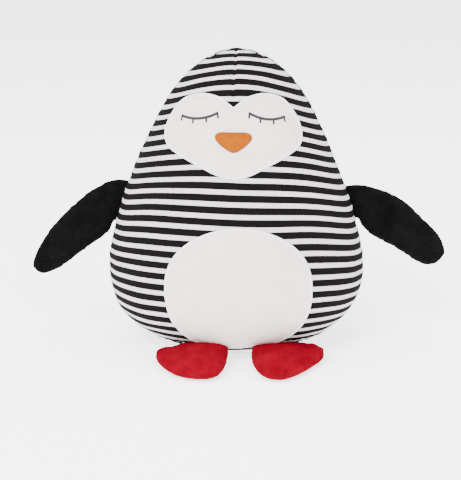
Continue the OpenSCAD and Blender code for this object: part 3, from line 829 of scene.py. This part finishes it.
def make_foot(side, around=300, rings_top=44, rings_low=26):
    hinge = joint(f"{side}_foot_fold")
    heel = np.array(hinge["pos_m"])
    outwards = np.array([abs(hinge["axis"][0]) * SIDES[side], abs(hinge["axis"][1]), 0])
    to_toe = np.array([abs(hinge["axis"][1]) * SIDES[side], -abs(hinge["axis"][0]), 0])
    outline = even(closed_curve(FOOT_OUTLINE[side], 900), around) * MM * np.array([1, FOOT_LONG])
    middle = np.array([3, 31]) * MM
    phi_top = np.linspace(0, math.pi / 2, rings_top)[::-1][1:]
    phi_low = np.linspace(0, math.pi / 2, rings_low)[1:-1]
    phi = np.concatenate([phi_top, -phi_low])
    plan = middle + (outline - middle)[None] * np.cos(phi)[:, None, None]
    across, along = plan[..., 0], plan[..., 1]
    seam_z = heel[2] - along * TOE_DROP
    up = np.sin(np.maximum(phi, 0))[:, None] ** 0.85
    under = 1 - (1 - np.sin(np.maximum(-phi, 0)))[:, None] ** 2.3
    top_rise = FOOT_RISE[side] * MM * (1 - 0.25 * smooth((along - 30 * MM) / (45 * MM)))
    top_rise = top_rise * (1 - OUTER_DROP[side] * smooth((across + 5 * MM) / (40 * MM)))
    z = seam_z + top_rise * up - (seam_z - SOLE) * under
    points = heel + across[..., None] * outwards + along[..., None] * to_toe
    points[..., 2] = z
    # the heel's edge is caught in the seam round the base
    near = (1 - smooth(along / (13 * MM))) * np.cos(phi)[:, None] ** 4
    inside = on_front(np.stack([points[..., 0], 0 * z + SEAM_Z], -1), -SEWN)[0]
    points[..., 1] += (inside[..., 1] - points[..., 1]) * near
    seed = 61 if side == "left" else 71
    rim = (1 - np.cos(phi))[:, None] * np.linalg.norm(outline - middle, axis=1)[None] + np.abs(z - seam_z)
    run = np.linspace(0, 0.24, around, endpoint=False)[None] + 0 * rim
    out = 0.45 * MM * waves(points, 0.045, seed) + 0.12 * MM * waves(points, 0.014, seed + 1)
    out += gathers(rim, run, 8 * MM, 0.2 * MM, 6 * MM, seed + 2) * smooth(rim / (2 * MM))
    normal = grid_normals(points)
    out *= np.where(phi[:, None] < -0.5, 0.15, 1.0)
    out += groove(rim, 0.8 * MM, 1.3 * MM)
    points = points + normal * out[..., None]
    points[..., 2] = np.maximum(points[..., 2], SOLE / 2)
    crown = heel + middle[0] * outwards + middle[1] * to_toe
    peak = crown.copy()
    peak[2] = np.mean(points[0, :, 2])
    crown[2] = SOLE
    rows = len(phi)
    faces = grid_faces(rows, around, around=True, first=1)
    last = 1 + rows * around
    for j in range(around):
        k = (j + 1) % around
        faces += [[0, 1 + k, 1 + j], [last - around + j, last - around + k, last]]
    everything = np.vstack([peak[None], points.reshape(-1, 3), crown[None]])
    foot = new_mesh(f"{side}_foot_velour", everything, faces, RED)
    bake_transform(foot)
    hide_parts(*(f"{side}_foot_{part}" for part in ("top_panel", "sole_panel", "filling", "seam")))


# ---------------------------------------------------------------- back
def on_back(x, z, lift):
    return on_body(np.arccos(np.clip(x / half_w(z), -1, 1)), z, lift)


def make_closing():
    """Ladder stitches that close the opening in the middle of the back."""
    low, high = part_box("closing_stitches")
    count = 10
    half = (high.x - low.x) / 2
    rng = np.random.default_rng(81)
    paths = []
    for z in np.linspace(low.z, high.z, count):
        t = np.linspace(-1, 1, 13)
        lift = 0.75 * MM * (1 - t ** 4) - 0.6 * MM * t ** 4
        slant = z + rng.uniform(-0.5, 0.5) * MM + t * 0.5 * MM
        paths.append(on_back(t * half, slant, lift))
    stitches = tubes("closing_ladder_stitches", paths, 0.42 * MM, DARK_THREAD)
    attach(stitches, "body")
    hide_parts("closing_stitches")


def make_label():
    """One layer of plain tape sewn in at the base seam; its free end stands off the back a little."""
    low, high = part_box("sewn_in_label")
    wide, tall = 22 * MM, 34 * MM
    middle = (low.x + high.x) / 2 - 0.5 * MM
    u, v = np.meshgrid(np.linspace(-0.5, 0.5, 25), np.linspace(0, 1, 41))
    level = np.linspace(SEAM_Z - 0.5 * MM, SEAM_Z + tall, 300)
    up = on_back(middle + 0 * level, level, 0.0)
    length = np.concatenate([[0], np.cumsum(np.linalg.norm(np.diff(up, axis=0), axis=1))])
    z = np.interp(v * tall, length, level)
    slant = DEPTH * middle / np.sqrt(half_w(low.z) ** 2 - middle ** 2)
    x = middle + (u * wide + 0.6 * MM * np.sin(3 * v)) / math.hypot(1, slant)
    lift = 0.5 * MM + v ** 2 * 2.6 * MM + 0.5 * MM * np.sin(5 * u + 4 * v) * v
    lift = lift - 1.6 * MM * (1 - smooth(v * 8))
    outer = on_back(x, z, lift + 0.35 * MM)
    inner = on_back(x, z, lift)
    rows, cols = u.shape
    n = rows * cols
    faces = grid_faces(rows, cols, flip=True) + grid_faces(rows, cols, first=n)
    rim = [(0, j) for j in range(cols)] + [(i, cols - 1) for i in range(1, rows)]
    rim += [(rows - 1, j) for j in range(cols - 2, -1, -1)] + [(i, 0) for i in range(rows - 2, 0, -1)]
    ids = [i * cols + j for i, j in rim]
    for k, a in enumerate(ids):
        b = ids[(k + 1) % len(ids)]
        faces.append([a, b, b + n, a + n])
    label = new_mesh("label_tape", np.concatenate([outer, inner]), faces, TAPE)
    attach(label, "body")
    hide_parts("sewn_in_label")


# ---------------------------------------------------------------- scene
def make_stage():
    floor_mesh = bpy.data.meshes.new("floor")
    reach = 14.0
    corners = [(-reach, -reach, 0), (reach, -reach, 0), (reach, reach, 0), (-reach, reach, 0)]
    floor_mesh.from_pydata(corners, [], [(0, 1, 2, 3)])
    floor = bpy.data.objects.new("floor", floor_mesh)
    floor.location.z = -0.0004
    material, _, bsdf = shader("floor", Roughness=0.9)
    bsdf.inputs["Base Color"].default_value = (0.95, 0.95, 0.95, 1)
    bsdf.inputs["Emission Color"].default_value = (1, 1, 1, 1)
    bsdf.inputs["Emission Strength"].default_value = 2.0
    floor_mesh.materials.append(material)
    bpy.context.scene.collection.objects.link(floor)
    world = bpy.data.worlds.new("studio")
    world.use_nodes = True
    world.node_tree.nodes["Background"].inputs[0].default_value = (1.0, 1.0, 1.0, 1)
    world.node_tree.nodes["Background"].inputs[1].default_value = 1.75
    bpy.context.scene.world = world
    for name, place, size, power in (
        ("key", (-0.9, -1.3, 1.5), 1.1, 88.0),
        ("fill", (1.3, -1.0, 0.9), 1.6, 24.0),
        ("top", (0.1, 0.5, 1.7), 1.5, 34.0),
    ):
        light = bpy.data.lights.new(name, "AREA")
        light.size = size
        light.energy = power
        lamp = bpy.data.objects.new(name, light)
        lamp.location = place
        aim = np.array([0, 0, 0.13]) - np.array(place)
        lamp.rotation_euler = Vector(aim).to_track_quat("-Z", "Y").to_euler()
        bpy.context.scene.collection.objects.link(lamp)


def make_camera():
    """In front of the toy, 16 degrees above it and 1.5 m from the target. The target's height was
    fitted together with the body's width."""
    rise, distance = math.radians(16), 1.5
    target = np.array([-0.0055, 0.0, 0.1032])
    camera_data = bpy.data.cameras.new("camera")
    camera_data.sensor_width = 36
    across = 0.480                     # metres at the target that the picture's longer side spans
    camera_data.lens = camera_data.sensor_width * distance / across
    camera = bpy.data.objects.new("camera", camera_data)
    camera.location = target + distance * np.array([0, -math.cos(rise), math.sin(rise)])
    camera.rotation_euler = (math.pi / 2 - rise, 0, 0)
    bpy.context.scene.collection.objects.link(camera)
    bpy.context.scene.camera = camera


make_camera()
make_body()
make_face()
make_eye("left")
make_eye("right")
make_belly()
make_wing("left")
make_wing("right")
make_foot("left")
make_foot("right")
make_closing()
make_label()
make_stage()
